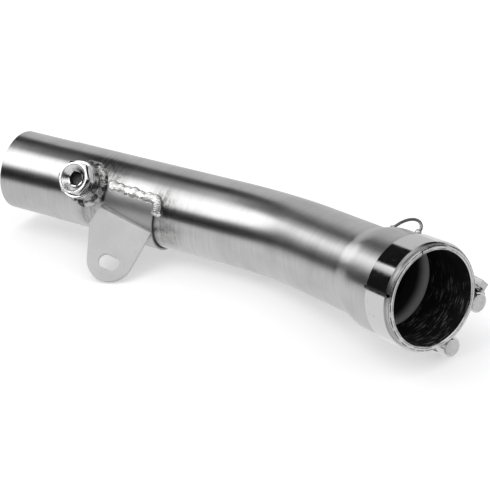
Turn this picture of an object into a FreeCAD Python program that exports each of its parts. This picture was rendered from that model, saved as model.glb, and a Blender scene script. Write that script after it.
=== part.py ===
import FreeCAD, Part
import os
import math
import Sketcher

# Motorcycle link pipe: bent tube with slotted socket, gasket sleeve,
# band clamp, sensor boss with plug, welded hanger bracket and spring hook.
# All lengths in millimetres. Built with the inlet leg along X and the bend
# in the XY plane, then every piece is laid in the pose in which it rests.

os.makedirs("parts", exist_ok=True)
V = FreeCAD.Vector
doc = FreeCAD.newDocument("link_pipe")

# Sizes of the real object
sheet = doc.addObject("Spreadsheet::Sheet", "Sizes")
SIZES = [
    ("tube_od", 54.0, "outside diameter of the tube"),
    ("tube_wall", 1.5, "wall of the tube"),
    ("inlet_len", 163.4, "straight inlet leg"),
    ("sized_len", 37.5, "length of the sized inlet end"),
    ("sized_od", 53.5, "outside diameter of the sized inlet end"),
    ("bend_radius", 131.4, "centreline radius of the bend"),
    ("bend_angle", 30.57, "angle of the bend"),
    ("outlet_len", 110.8, "straight outlet leg, up to the gasket face"),
    ("lip_thk", 1.15, "thickness of the gasket lip"),
    ("socket_od", 61.0, "outside diameter of the socket"),
    ("flare_start", 54.3, "start of the flare, from the gasket face"),
    ("cone_low", 52.0, "lower end of the cone, from the gasket face"),
    ("cone_high", 46.0, "upper end of the cone, from the gasket face"),
    ("flare_end", 36.8, "end of the flare, from the gasket face"),
    ("cone_step_low", 0.34, "rise of the tube radius at the lower cone end"),
    ("cone_step_high", 1.35, "drop below the socket radius at the upper cone end"),
    ("slit_width", 1.8, "width of the socket slits"),
    ("slit_len", 23.0, "end of the slits, from the gasket face"),
    ("gasket_wall", 1.65, "wall of the gasket sleeve"),
    ("gasket_len", 36.0, "length of the gasket sleeve"),
    ("gasket_lip_step", 0.3, "step from the socket in to the gasket lip"),
    ("gasket_seam", 0.7, "open seam of the gasket sleeve"),
    ("band_thk", 1.1, "thickness of the clamp strap"),
    ("band_front", 3.6, "front edge of the clamp, from the gasket face"),
    ("band_width", 16.4, "width of the clamp strap"),
    ("strap_leave", 20.5, "angle between a barrel and the root of its loop"),
    ("barrel_dia", 9.7, "diameter of the clamp barrels"),
    ("screw_clear", 0.9, "gap between the socket and the clamp screw"),
    ("barrel_front", 2.7, "front face of the barrels, from the gasket face"),
    ("barrel_len", 18.2, "length of the barrels"),
    ("barrel_angle_a", 183.6, "angle of the plain barrel"),
    ("barrel_angle_b", 229.8, "angle of the threaded barrel"),
    ("screw_dia", 6.0, "diameter of the clamp screw"),
    ("screw_hex", 10.0, "hexagon of the screw, across flats"),
    ("screw_hex_height", 4.0, "height of the hexagon"),
    ("screw_flange_od", 14.0, "diameter of the screw flange"),
    ("screw_len", 40.0, "length of the screw below the flange"),
    ("boss_x", 67.5, "distance of the boss from the inlet end"),
    ("boss_turn", 13.5, "turn of the boss above the bend plane"),
    ("boss_od", 24.4, "outside diameter of the boss"),
    ("boss_top", 38.0, "top of the boss, from the tube axis"),
    ("plug_thread", 18.0, "thread diameter of the plug"),
    ("plug_hex", 20.4, "hexagon of the plug, across flats"),
    ("plug_top", 44.6, "top of the plug, from the tube axis"),
    ("plug_recess", 9.0, "hexagon recess of the plug, across flats"),
    ("plug_recess_depth", 8.0, "depth of the hexagon recess"),
    ("plug_dish_od", 16.8, "diameter of the dished plug face"),
    ("plug_dish_depth", 3.6, "depth of the dished plug face"),
    ("washer_thk", 1.5, "thickness of the plug washer"),
    ("weld_boss_od", 31.0, "outside diameter of the boss weld"),
    ("saddle_thk", 2.0, "thickness of the saddle"),
    ("saddle_top", 17.0, "angle of the upper saddle edge at its left end"),
    ("saddle_fall", 3.4, "fall of the upper saddle edge over its width"),
    ("saddle_bottom", 106.0, "angle of the lower saddle edge"),
    ("saddle_width", 36.5, "width of the saddle"),
    ("saddle_right", 121.3, "right saddle edge at the bend plane"),
    ("tab_thk", 3.0, "thickness of the tab"),
    ("tab_lean", 27.0, "lean of the tab"),
    ("tab_turn", 14.0, "turn of the tab"),
    ("tab_tilt", 15.4, "tilt of the tab in its own plane"),
    ("tab_fold", 35.0, "fold of the tab foot"),
    ("tab_top_x", 84.4, "front upper corner of the tab, from the inlet end"),
    ("tab_top_y", 32.3, "front upper corner of the tab, out from the bend plane axis"),
    ("tab_top_z", 7.25, "front upper corner of the tab, below the bend plane"),
    ("tab_width", 38.4, "width of the tab at the fold"),
    ("tab_drop", 25.5, "distance from the fold to the centre of the tab end"),
    ("slot_drop", 27.8, "distance from the fold to the slot"),
    ("tab_end_radius", 15.0, "radius of the tab end"),
    ("tab_taper", 28.2, "slope of the left tab edge"),
    ("tab_foot", 8.0, "length of the tab foot before it is fitted to the saddle"),
    ("fold_radius", 1.0, "inner radius of the tab fold"),
    ("slot_radius", 4.7, "end radius of the slot"),
    ("slot_shift", 2.4, "half distance of the slot end centres"),
    ("wire_dia", 1.8, "wire of the spring hook"),
    ("rest_pitch", 3.4695, "pitch of the resting pipe"),
    ("rest_roll", -19.5606, "roll of the resting pipe"),
    ("rest_x", -171.57, "shift of the resting pipe along X"),
    ("rest_y", 34.79, "shift of the resting pipe along Y"),
    ("rest_lift", 37.603, "lift of the resting pipe"),
]
val = {}
for row, (alias, number, note) in enumerate(SIZES, start=1):
    sheet.set("A%d" % row, note)
    sheet.set("B%d" % row, str(number))
    sheet.setAlias("B%d" % row, alias)
    val[alias] = number
doc.recompute()


class Q:
    """A size with its number and the formula that drives it."""

    def __init__(self, number, text):
        self.n = float(number)
        self.t = text

    def __add__(self, other):
        other = as_q(other)
        return Q(self.n + other.n, "(%s + %s)" % (self.t, other.t))

    def __radd__(self, other):
        return as_q(other) + self

    def __sub__(self, other):
        other = as_q(other)
        return Q(self.n - other.n, "(%s - %s)" % (self.t, other.t))

    def __rsub__(self, other):
        return as_q(other) - self

    def __mul__(self, other):
        other = as_q(other)
        return Q(self.n * other.n, "(%s * %s)" % (self.t, other.t))

    def __rmul__(self, other):
        return as_q(other) * self

    def __truediv__(self, other):
        other = as_q(other)
        return Q(self.n / other.n, "(%s / %s)" % (self.t, other.t))

    def __neg__(self):
        return Q(-self.n, "(0 - %s)" % self.t)


def as_q(x):
    return x if isinstance(x, Q) else Q(x, "%.9g" % x)


def D(alias):
    return Q(val[alias], "Sizes." + alias)


def sin_of(q):
    return Q(math.sin(math.radians(q.n)), "sin(%s * 1deg)" % q.t)


def cos_of(q):
    return Q(math.cos(math.radians(q.n)), "cos(%s * 1deg)" % q.t)


def drive(obj, prop, q):
    q = as_q(q)
    setattr(obj, prop, q.n)
    obj.setExpression(prop, q.t)


def frame_of(origin, xdir, ydir, zdir):
    return FreeCAD.Placement(origin, FreeCAD.Rotation(xdir, ydir, zdir, "XYZ"))


def cylinder(name, radius, height, place=None, angle=None):
    obj = doc.addObject("Part::Cylinder", name)
    drive(obj, "Radius", radius)
    drive(obj, "Height", height)
    if angle is not None:
        drive(obj, "Angle", angle)
    if place is not None:
        obj.Placement = place
    return obj


def cone(name, r_low, r_high, height, place=None):
    obj = doc.addObject("Part::Cone", name)
    drive(obj, "Radius1", r_low)
    drive(obj, "Radius2", r_high)
    drive(obj, "Height", height)
    if place is not None:
        obj.Placement = place
    return obj


def box(name, length, width, height, place=None):
    obj = doc.addObject("Part::Box", name)
    drive(obj, "Length", length)
    drive(obj, "Width", width)
    drive(obj, "Height", height)
    if place is not None:
        obj.Placement = place
    return obj


def hexagon(name, across_flats, height, place=None):
    obj = doc.addObject("Part::Prism", name)
    obj.Polygon = 6
    drive(obj, "Circumradius", as_q(across_flats) / as_q(math.sqrt(3.0)))
    drive(obj, "Height", height)
    if place is not None:
        obj.Placement = place
    return obj


def ball(name, radius, place):
    obj = doc.addObject("Part::Sphere", name)
    drive(obj, "Radius", radius)
    obj.Placement = place
    return obj


def cut(name, base, tool):
    obj = doc.addObject("Part::Cut", name)
    obj.Base = base
    obj.Tool = tool
    return obj


def join(name, shapes):
    obj = doc.addObject("Part::MultiFuse", name)
    obj.Shapes = shapes
    return obj


def common(name, first, second):
    obj = doc.addObject("Part::Common", name)
    obj.Base = first
    obj.Tool = second
    return obj


def extrude(name, sketch, depth, both=False):
    obj = doc.addObject("Part::Extrusion", name)
    obj.Base = sketch
    obj.DirMode = "Normal"
    drive(obj, "LengthFwd", depth)
    obj.Solid = True
    obj.Symmetric = both
    return obj


def at(x, y, z):
    return FreeCAD.Placement(V(x, y, z), FreeCAD.Rotation())


def pin(sk, geo, pos, x, y):
    # holds one sketch point at a place driven by the sheet
    for kind, q in (("DistanceX", as_q(x)), ("DistanceY", as_q(y))):
        if abs(q.n) < 1e-9:
            axis = -2 if kind == "DistanceX" else -1
            sk.addConstraint(Sketcher.Constraint("PointOnObject", geo, pos, axis))
        else:
            i = sk.addConstraint(Sketcher.Constraint(kind, -1, 1, geo, pos, q.n))
            sk.setExpression("Constraints[%d]" % i, q.t)


def turned_arc(point):
    # an arc that is stored from its far end
    return len(point) > 2 and point[3] > 0


def outline(sk, points):
    # closed outline of straight lines and arcs; a point is (x, y) or
    # (x, y, radius, side) when the edge that follows it is an arc
    count = len(points)
    for i, p in enumerate(points):
        q = points[(i + 1) % count]
        a = V(as_q(p[0]).n, as_q(p[1]).n, 0)
        b = V(as_q(q[0]).n, as_q(q[1]).n, 0)
        if len(p) == 2:
            sk.addGeometry(Part.LineSegment(a, b), False)
        else:
            radius = as_q(p[2]).n
            chord = b.sub(a)
            half = chord.Length / 2.0
            rise = radius - math.sqrt(max(radius * radius - half * half, 0.0))
            across = V(-chord.y, chord.x, 0).normalize()
            middle = a.add(b).multiply(0.5).add(across.multiply(rise * p[3]))
            sk.addGeometry(Part.Arc(a, middle, b), False)
    for i in range(count):
        p = points[i]
        nxt = (i + 1) % count
        end = 1 if turned_arc(p) else 2
        start = 2 if turned_arc(points[nxt]) else 1
        sk.addConstraint(Sketcher.Constraint("Coincident", i, end, nxt, start))
    for i in range(count):
        p = points[i]
        pin(sk, i, 2 if turned_arc(p) else 1, p[0], p[1])
        if len(p) > 2:
            c = sk.addConstraint(Sketcher.Constraint("Radius", i, as_q(p[2]).n))
            sk.setExpression("Constraints[%d]" % c, as_q(p[2]).t)


def free_sketch(name, place, points):
    sk = doc.addObject("Sketcher::SketchObject", name)
    sk.Placement = place
    outline(sk, points)
    return sk


def body_sketch(body, role, offset=None):
    sk = body.newObject("Sketcher::SketchObject", body.Name + "_sketch")
    plane = [f for f in body.Origin.OriginFeatures if f.Role == role][0]
    sk.AttachmentSupport = [(plane, "")]
    sk.MapMode = "FlatFace"
    if offset is not None:
        sk.AttachmentOffset = offset
    return sk


# Places that many pieces share
BEND = math.radians(val["bend_angle"])
bend_end = V(val["inlet_len"] + val["bend_radius"] * math.sin(BEND),
             -val["bend_radius"] * (1.0 - math.cos(BEND)), 0)
way_out = V(math.cos(BEND), -math.sin(BEND), 0)
gasket_face = bend_end + way_out * val["outlet_len"]
front_side = V(-math.sin(BEND), -math.cos(BEND), 0)
# local frame of the outlet: z runs back from the gasket face
OUTLET = frame_of(gasket_face, front_side, V(0, 0, 1), way_out * -1.0)
# local frame of the sensor boss: z runs out from the tube axis
turn = math.radians(val["boss_turn"])
boss_out = V(0, -math.cos(turn), math.sin(turn))
BOSS = frame_of(V(val["boss_x"], 0, 0), V(1, 0, 0), boss_out.cross(V(1, 0, 0)), boss_out)
# the pose in which the pipe rests on the floor
REST = FreeCAD.Placement(V(val["rest_x"], val["rest_y"], val["rest_lift"]),
                         FreeCAD.Rotation(0.0, val["rest_pitch"], val["rest_roll"]))
tube_r = D("tube_od") / 2
tube_ri = tube_r - D("tube_wall")
socket_r = D("socket_od") / 2
socket_ri = socket_r - D("tube_wall")
ALONG_X = frame_of(V(0, 0, 0), V(0, 1, 0), V(0, 0, 1), V(1, 0, 0))


def on(frame, x, y, z):
    return frame.multiply(at(x, y, z))


# Main tube: swept tube, sized inlet end, spun flare with socket, four slits
tube = doc.addObject("PartDesign::Body", "tube_form")
path = body_sketch(tube, "XY_Plane")
path.addGeometry(Part.LineSegment(V(0, 0, 0), V(val["inlet_len"], 0, 0)), False)
centre = V(val["inlet_len"], -val["bend_radius"], 0)
middle_turn = math.pi / 2 - BEND / 2
arc_middle = centre + V(math.cos(middle_turn), math.sin(middle_turn), 0) * val["bend_radius"]
path.addGeometry(Part.Arc(V(val["inlet_len"], 0, 0), arc_middle, bend_end), False)
sweep_len = D("outlet_len") - D("flare_start")
sweep_end = bend_end + way_out * sweep_len.n
path.addGeometry(Part.LineSegment(bend_end, sweep_end), False)
path.addConstraint(Sketcher.Constraint("Coincident", 0, 1, -1, 1))
path.addConstraint(Sketcher.Constraint("Horizontal", 0))
path.addConstraint(Sketcher.Constraint("Tangent", 0, 2, 1, 2))
path.addConstraint(Sketcher.Constraint("Tangent", 1, 1, 2, 1))
i = path.addConstraint(Sketcher.Constraint("Distance", 0, val["inlet_len"]))
path.setExpression("Constraints[%d]" % i, "Sizes.inlet_len")
i = path.addConstraint(Sketcher.Constraint("Radius", 1, val["bend_radius"]))
path.setExpression("Constraints[%d]" % i, "Sizes.bend_radius")
i = path.addConstraint(Sketcher.Constraint("Distance", 2, sweep_len.n))
path.setExpression("Constraints[%d]" % i, sweep_len.t)
bend_x = D("inlet_len") + D("bend_radius") * sin_of(D("bend_angle"))
i = path.addConstraint(Sketcher.Constraint("DistanceX", -1, 1, 2, 1, bend_x.n))
path.setExpression("Constraints[%d]" % i, bend_x.t)
section = body_sketch(tube, "YZ_Plane")
for k, radius in enumerate((tube_r, tube_ri)):
    section.addGeometry(Part.Circle(V(0, 0, 0), V(0, 0, 1), radius.n), False)
    section.addConstraint(Sketcher.Constraint("Coincident", k, 3, -1, 1))
    i = section.addConstraint(Sketcher.Constraint("Radius", k, radius.n))
    section.setExpression("Constraints[%d]" % i, radius.t)
doc.recompute()
pipe = tube.newObject("PartDesign::AdditivePipe", "tube_sweep")
pipe.Profile = section
pipe.Spine = (path, ["Edge1", "Edge2", "Edge3"])
doc.recompute()
# the outlet sketches lie in the bend plane with x along the outlet leg
leg = FreeCAD.Placement(bend_end, FreeCAD.Rotation(-val["bend_angle"], 0, 0))
face = D("outlet_len")
flare = body_sketch(tube, "XY_Plane", leg)
outline(flare, [
    (face - D("flare_start"), tube_r, 8.0, -1),
    (face - D("cone_low"), tube_r + D("cone_step_low")),
    (face - D("cone_high"), socket_r - D("cone_step_high"), 32.0, 1),
    (face - D("flare_end"), socket_r),
    (face - D("lip_thk"), socket_r),
    (face - D("lip_thk"), socket_ri),
    (face - D("flare_end"), socket_ri, 32.0, -1),
    (face - D("cone_high"), socket_ri - D("cone_step_high")),
    (face - D("cone_low"), tube_ri + D("cone_step_low"), 8.0, 1),
    (face - D("flare_start"), tube_ri),
])
doc.recompute()
spun = tube.newObject("PartDesign::Revolution", "socket_spun")
spun.Profile = flare
spun.ReferenceAxis = (flare, ["H_Axis"])
spun.Angle = 360.0
doc.recompute()
sized = body_sketch(tube, "XY_Plane")
outline(sized, [
    (-1.0, D("sized_od") / 2),
    (D("sized_len"), D("sized_od") / 2),
    (D("sized_len") + 1.0, tube_r),
    (D("sized_len") + 1.0, tube_r + 1.0),
    (-1.0, tube_r + 1.0),
])
doc.recompute()
groove = tube.newObject("PartDesign::Groove", "sized_end")
groove.Profile = sized
groove.ReferenceAxis = (sized, ["H_Axis"])
groove.Angle = 360.0
doc.recompute()
slit_a = box("slit_side", D("socket_od") + 10, D("slit_width"), D("slit_len") + 5,
             on(OUTLET, -val["socket_od"] / 2 - 5, -val["slit_width"] / 2, -5))
slit_b = box("slit_top", D("slit_width"), D("socket_od") + 10, D("slit_len") + 5,
             on(OUTLET, -val["slit_width"] / 2, -val["socket_od"] / 2 - 5, -5))
boss_hole = cylinder("sensor_hole", D("plug_thread") / 2, D("tube_od"), BOSS)
tube_tools = join("tube_tools", [slit_a, slit_b, boss_hole])
main_tube = cut("main_tube", tube, tube_tools)

# Outer form of the plain tube, used to fit the welded pieces to it
tube_solid = cylinder("tube_solid", tube_r, D("inlet_len"), ALONG_X)

# Gasket sleeve with its lip and an open seam
gasket_body = doc.addObject("PartDesign::Body", "gasket_form")
ring = body_sketch(gasket_body, "XY_Plane", leg)
bore_r = socket_ri - D("gasket_wall")
lip_r = socket_r - D("gasket_lip_step")
outline(ring, [
    (face - D("gasket_len"), bore_r),
    (face - 0.4, bore_r),
    (face, bore_r + 0.4),
    (face, lip_r - 0.5),
    (face - 0.5, lip_r),
    (face - D("lip_thk"), lip_r),
    (face - D("lip_thk"), socket_ri),
    (face - D("gasket_len") + 1.0, socket_ri),
    (face - D("gasket_len"), socket_ri - 0.8),
])
doc.recompute()
gasket_spun = gasket_body.newObject("PartDesign::Revolution", "gasket_spun")
gasket_spun.Profile = ring
gasket_spun.ReferenceAxis = (ring, ["H_Axis"])
gasket_spun.Angle = 360.0
doc.recompute()
seam_turn = FreeCAD.Placement(V(0, 0, 0), FreeCAD.Rotation(V(0, 0, 1), 60))
seam_place = OUTLET.multiply(seam_turn).multiply(at(0, -val["gasket_seam"] / 2, -1))
seam = box("gasket_gap", D("socket_od"), D("gasket_seam"), D("gasket_len") + 2, seam_place)
gasket_sleeve = cut("gasket_sleeve", gasket_body, seam)

# Clamp strap: a ring that stays open between the barrels, with a loop at each end
band_in = socket_r
band_out = socket_r + D("band_thk")
front = D("band_front")
ring_out = cylinder("strap_outer", band_out, D("band_width"), on(OUTLET, 0, 0, val["band_front"]))
ring_in = cylinder("strap_inner", band_in, D("band_width") + 4, on(OUTLET, 0, 0, val["band_front"] - 2))
half_gap = (D("barrel_angle_b") - D("barrel_angle_a")) / 2
barrel_radius = (socket_r + D("screw_dia") / 2 + D("screw_clear")) / cos_of(half_gap)
gap_from = D("barrel_angle_a") + 9
gap_to = D("barrel_angle_b") - 9
gap_turn = FreeCAD.Placement(V(0, 0, val["band_front"] - 2), FreeCAD.Rotation(V(0, 0, 1), gap_from.n))
ring_gap = cylinder("strap_gap", band_out + 20, D("band_width") + 4, OUTLET.multiply(gap_turn),
                    gap_to - gap_from)


def polar(radius, angle):
    a = math.radians(angle)
    return V(radius * math.cos(a), radius * math.sin(a), 0)


def strap_loop(name, angle, side):
    # side is +1 when the strap leaves the barrel towards larger angles
    rb = val["barrel_dia"] / 2.0
    rl = rb + val["band_thk"]
    c = polar(barrel_radius.n, angle)
    t1 = polar(band_out.n, angle + side * val["strap_leave"])
    way = c - t1
    reach = math.sqrt(way.Length ** 2 - rl ** 2)
    swing = math.asin(rl / way.Length) * -side
    unit = V(way.x, way.y, 0).normalize()
    unit = V(unit.x * math.cos(swing) - unit.y * math.sin(swing),
             unit.x * math.sin(swing) + unit.y * math.cos(swing), 0)
    t2 = t1 + unit * reach
    normal = (t2 - c).normalize()
    n2 = c + normal * rb
    n1 = n2 - unit * (reach + 1.0)
    back = polar(band_in.n + 0.2, angle + side * (val["strap_leave"] + 2))
    foot = polar(band_in.n + 0.2, angle)
    front_place = on(OUTLET, 0, 0, val["band_front"])
    web = free_sketch(name + "_web", front_place, order([t1, t2, c, foot, back]))
    web_solid = extrude(name + "_web_solid", web, D("band_width"))
    loop_out = cylinder(name + "_outer", D("barrel_dia") / 2 + D("band_thk"), D("band_width"),
                        on(OUTLET, c.x, c.y, val["band_front"]))
    solid = join(name + "_full", [web_solid, loop_out])
    deep = on(OUTLET, 0, 0, val["band_front"] - 1)
    hollow = free_sketch(name + "_hollow", deep, order([n1, n2, c, polar(band_in.n, angle)]))
    hollow_solid = extrude(name + "_hollow_solid", hollow, D("band_width") + 2)
    under = cylinder(name + "_under", band_out + D("band_thk"), D("band_width") + 4,
                     on(OUTLET, 0, 0, val["band_front"] - 2))
    hollow_cut = cut(name + "_hollow_cut", hollow_solid, under)
    loop_in = cylinder(name + "_inner", D("barrel_dia") / 2, D("band_width") + 2,
                       on(OUTLET, c.x, c.y, val["band_front"] - 1))
    inner = join(name + "_inside", [hollow_cut, loop_in])
    return cut(name, solid, inner)


def order(points):
    # counter-clockwise
    mx = sum(p.x for p in points) / len(points)
    my = sum(p.y for p in points) / len(points)
    turned = sorted(points, key=lambda p: math.atan2(p.y - my, p.x - mx))
    return [(p.x, p.y) for p in turned]


loop_a = strap_loop("loop_a", val["barrel_angle_a"], -1)
loop_b = strap_loop("loop_b", val["barrel_angle_b"], 1)
strap_ring = cut("strap_ring", ring_out, ring_in)
strap_open = cut("strap_open", strap_ring, ring_gap)
strap_full = join("strap_full", [strap_open, loop_a, loop_b])
centre_a = polar(barrel_radius.n, val["barrel_angle_a"])
centre_b = polar(barrel_radius.n, val["barrel_angle_b"])
screw_way = (centre_a - centre_b).normalize()
mid_band = val["band_front"] + val["band_width"] / 2.0
# local frame of the screw: z runs from the threaded barrel to the head
screw_x = V(0, 0, 1)
SCREW = OUTLET.multiply(frame_of(centre_a + V(0, 0, mid_band), screw_x,
                                 screw_way.cross(screw_x), screw_way))
span = (centre_a - centre_b).Length
under_head = val["barrel_dia"] / 2.0 + val["band_thk"] + 0.05
shank_start = under_head - val["screw_len"]
cap = D("screw_flange_od") / 2
flange_low = cylinder("flange_low", cap, 1.2, on(SCREW, 0, 0, under_head))
flange_cone = cone("flange_cone", cap, D("screw_hex") / 2 + 0.3, 1.4, on(SCREW, 0, 0, under_head + 1.2))
hex_len = D("screw_hex_height") + 2.0
head_hex = hexagon("head_hex", D("screw_hex"), hex_len, on(SCREW, 0, 0, under_head + 0.6))
head_top = under_head + 0.6 + hex_len.n
dome = cone("head_dome", D("screw_hex") + 1.2, D("screw_hex") / 2 - 0.3, 4.4, on(SCREW, 0, 0, head_top - 4.4))
head_shaped = common("head_shaped", head_hex, dome)
shank = cylinder("screw_shank", D("screw_dia") / 2, D("screw_len"), on(SCREW, 0, 0, shank_start))
tip_hollow = cone("tip_form", D("screw_dia") / 2 - 1.0, D("screw_dia") / 2 + 1.0, 2.0,
                  on(SCREW, 0, 0, shank_start))
tip_rest = cylinder("shank_rest", D("screw_dia") / 2 + 1, D("screw_len"), on(SCREW, 0, 0, shank_start + 1.0))
tip = common("shank_shaped", shank, join("tip_limits", [tip_hollow, tip_rest]))
clamp_screw = join("clamp_screw", [tip, flange_low, flange_cone, head_shaped])

# The strap has a hole in each loop for the screw
drill_len = D("screw_len") + span
drill_place = on(SCREW, 0, 0, -span - val["screw_len"] / 2.0)
strap_hole = cylinder("strap_hole", D("screw_dia") / 2 + 0.4, drill_len, drill_place)
clamp_cuts = join("clamp_cuts", [strap_hole, ring_in])
clamp_band = cut("clamp_band", strap_full, clamp_cuts)


def barrel(name, centre, hole_radius):
    body = cylinder(name + "_blank", D("barrel_dia") / 2, D("barrel_len"),
                    on(OUTLET, centre.x, centre.y, val["barrel_front"]))
    drill = cylinder(name + "_drill", hole_radius, drill_len, drill_place)
    return cut(name, body, drill)


barrel_plain = barrel("barrel_plain", centre_a, D("screw_dia") / 2 + 0.3)
barrel_threaded = barrel("barrel_threaded", centre_b, D("screw_dia") / 2)

# Sensor boss, its weld, washer and plug
boss_low = tube_r * 0.7
boss_blank = cylinder("boss_blank", D("boss_od") / 2, D("boss_top") - boss_low, on(BOSS, 0, 0, boss_low.n))
boss_bore = cylinder("boss_bore", D("plug_thread") / 2, D("boss_top"), BOSS)
lambda_boss = cut("sensor_boss", boss_blank, join("boss_tools", [boss_bore, tube_solid]))
weld_height = 2.2
weld_ring = cylinder("weld_ring", D("weld_boss_od") / 2, D("boss_top"), on(BOSS, 0, 0, tube_r.n * 0.4))
weld_shell = cylinder("weld_shell", tube_r + weld_height, D("inlet_len"), ALONG_X)
weld_top = common("boss_weld_blank", weld_ring, weld_shell)
boss_core = cylinder("boss_core", D("boss_od") / 2, D("boss_top"), BOSS)
weld_cuts = join("boss_weld_cuts", [boss_core, tube_solid])
boss_weld = cut("boss_weld", weld_top, weld_cuts)
washer_low = D("boss_top")
washer_blank = cylinder("washer_blank", D("boss_od") / 2 - 0.2, D("washer_thk"), on(BOSS, 0, 0, washer_low.n))
washer_hole = cylinder("washer_hole", D("plug_thread") / 2, 20.0, on(BOSS, 0, 0, washer_low.n - 5))
plug_washer = cut("plug_washer", washer_blank, washer_hole)
head_low = washer_low + D("washer_thk")
plug_head = hexagon("plug_head", D("plug_hex"), D("plug_top") - head_low, on(BOSS, 0, 0, head_low.n))
plug_cone = cone("plug_cone", D("plug_hex"), D("plug_hex") / 2 - 0.2, 7.0, on(BOSS, 0, 0, val["plug_top"] - 7))
plug_shaped = common("plug_shaped", plug_head, plug_cone)
plug_collar = cylinder("plug_collar", D("boss_od") / 2 - 1.2, 1.4, on(BOSS, 0, 0, head_low.n))
plug_shank = cylinder("plug_shank", D("plug_thread") / 2, head_low - tube_ri,
                      on(BOSS, 0, 0, tube_ri.n))
plug_solid = join("plug_solid", [plug_shaped, plug_collar, plug_shank])
recess = hexagon("plug_recess_form", D("plug_recess"), D("plug_recess_depth") + 1,
                 on(BOSS, 0, 0, val["plug_top"] - val["plug_recess_depth"]))
dish = cone("plug_dish", D("plug_recess") / 2 + 0.6, D("plug_dish_od") / 2, D("plug_dish_depth"),
            on(BOSS, 0, 0, val["plug_top"] - val["plug_dish_depth"] + 0.01))
plug = cut("sensor_plug", plug_solid, join("plug_tools", [recess, dish]))

# Bracket saddle: a shell around the tube, cut to a slanted outline
saddle_r = tube_r + D("saddle_thk")
span_angle = D("saddle_bottom") + 30
start_turn = FreeCAD.Placement(V(0, 0, 0), FreeCAD.Rotation(V(0, 0, 1), 150))
shell_place = ALONG_X.multiply(start_turn)
shell = cylinder("saddle_shell", saddle_r, D("inlet_len"), shell_place, span_angle)
shell_open = cut("saddle_open", shell, tube_solid)
slant = 0.08
top_z = saddle_r * sin_of(D("saddle_top"))
right = D("saddle_right")
left = right - D("saddle_width")
seen_from_front = frame_of(V(0, 0, 0), V(1, 0, 0), V(0, 0, 1), V(0, -1, 0))
low = D("tube_od") * 0.75
saddle_outline = free_sketch("saddle_outline", seen_from_front, [
    (right - slant * low, -low),
    (right + slant * (top_z - D("saddle_fall")), top_z - D("saddle_fall")),
    (left + slant * top_z, top_z),
    (left - slant * low, -low),
])
saddle_prism = extrude("saddle_prism", saddle_outline, D("tube_od") * 1.5, True)
saddle_full = common("saddle_full", shell_open, saddle_prism)
bracket_saddle = cut("bracket_saddle", saddle_full, weld_ring)

# Hanger tab: folded plate that leans out, with its foot fitted to the saddle
lean = FreeCAD.Rotation(V(1, 0, 0), -val["tab_lean"])
swing = FreeCAD.Rotation(V(0, 0, 1), val["tab_turn"])
upright = FreeCAD.Rotation(V(1, 0, 0), V(0, 0, 1), V(0, -1, 0), "XYZ")
tilt = FreeCAD.Rotation(V(0, 0, 1), -val["tab_tilt"])
tab_corner = V(val["tab_top_x"], -val["tab_top_y"], -val["tab_top_z"])
# local frame of the tab: x along the fold, y up, z out of the front face
TAB = FreeCAD.Placement(tab_corner, swing.multiply(lean).multiply(upright).multiply(tilt))
fold_out = D("fold_radius") + D("tab_thk")
sin_fold = sin_of(D("tab_fold"))
cos_fold = cos_of(D("tab_fold"))
# the profile lies across the fold: x is up along the tab, y is out of its face
profile_frame = TAB.multiply(frame_of(V(-val["tab_width"] / 6, 0, 0), V(0, 1, 0), V(0, 0, 1), V(1, 0, 0)))
tab_reach = (D("tab_drop") + D("tab_end_radius")) * 1.5
fold_x = fold_out * sin_fold
fold_y = fold_out * cos_fold - fold_out
back_x = D("fold_radius") * sin_fold
back_y = D("fold_radius") * cos_fold - fold_out
profile = free_sketch("tab_profile", profile_frame, [
    (-tab_reach, 0.0),
    (-tab_reach, -D("tab_thk")),
    (0.0, -D("tab_thk"), D("fold_radius"), 1),
    (back_x, back_y),
    (back_x + D("tab_foot") * cos_fold, back_y - D("tab_foot") * sin_fold),
    (fold_x + D("tab_foot") * cos_fold, fold_y - D("tab_foot") * sin_fold),
    (fold_x, fold_y, fold_out, -1),
    (0.0, 0.0),
])
tab_sheet = extrude("tab_sheet", profile, D("tab_width") * 1.5)
end_r = D("tab_end_radius")
end_x = D("tab_width") - end_r
taper_sin = sin_of(D("tab_taper"))
taper_cos = cos_of(D("tab_taper"))
left_x = end_x - end_r * taper_cos
left_y = -D("tab_drop") - end_r * taper_sin
rise = D("tab_drop") - 1.5
above = D("tab_foot") * 1.5
outline_frame = on(TAB, 0, 0, -15)
tab_outline = free_sketch("tab_outline", outline_frame, [
    (-1.0, above),
    (left_x - rise * taper_sin, left_y + rise * taper_cos),
    (left_x, left_y, end_r, -1),
    (end_x, -D("tab_drop") - end_r, end_r, -1),
    (D("tab_width"), -D("tab_drop")),
    (D("tab_width") - 0.8, above),
])
tab_prism = extrude("tab_prism", tab_outline, 30.0)
tab_blank = common("tab_blank", tab_sheet, tab_prism)
slot_mid = on(TAB, end_x.n + 0.5, -val["slot_drop"], -10).multiply(
    FreeCAD.Placement(V(0, 0, 0), FreeCAD.Rotation(V(0, 0, 1), 4.0)))
slot_r = D("slot_radius")
slot_h = D("slot_shift")
slot_end_a = cylinder("slot_end_a", slot_r, 20.0, on(slot_mid, -val["slot_shift"], 0, 0))
slot_end_b = cylinder("slot_end_b", slot_r, 20.0, on(slot_mid, val["slot_shift"], 0, 0))
slot_mid_box = box("slot_middle", slot_h * 2, slot_r * 2, 20.0,
                   on(slot_mid, -val["slot_shift"], -val["slot_radius"], 0))
saddle_solid = cylinder("saddle_solid", saddle_r, D("inlet_len"), ALONG_X)
tab_tools = join("tab_tools", [slot_end_a, slot_end_b, slot_mid_box, saddle_solid])
bracket_tab = cut("bracket_tab", tab_blank, tab_tools)

# Welds of the saddle: beads on its upper edge, its right edge and its lower edge
bead = 1.9
bead_r = D("tube_od") / 2 + D("saddle_thk") / 2


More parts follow.
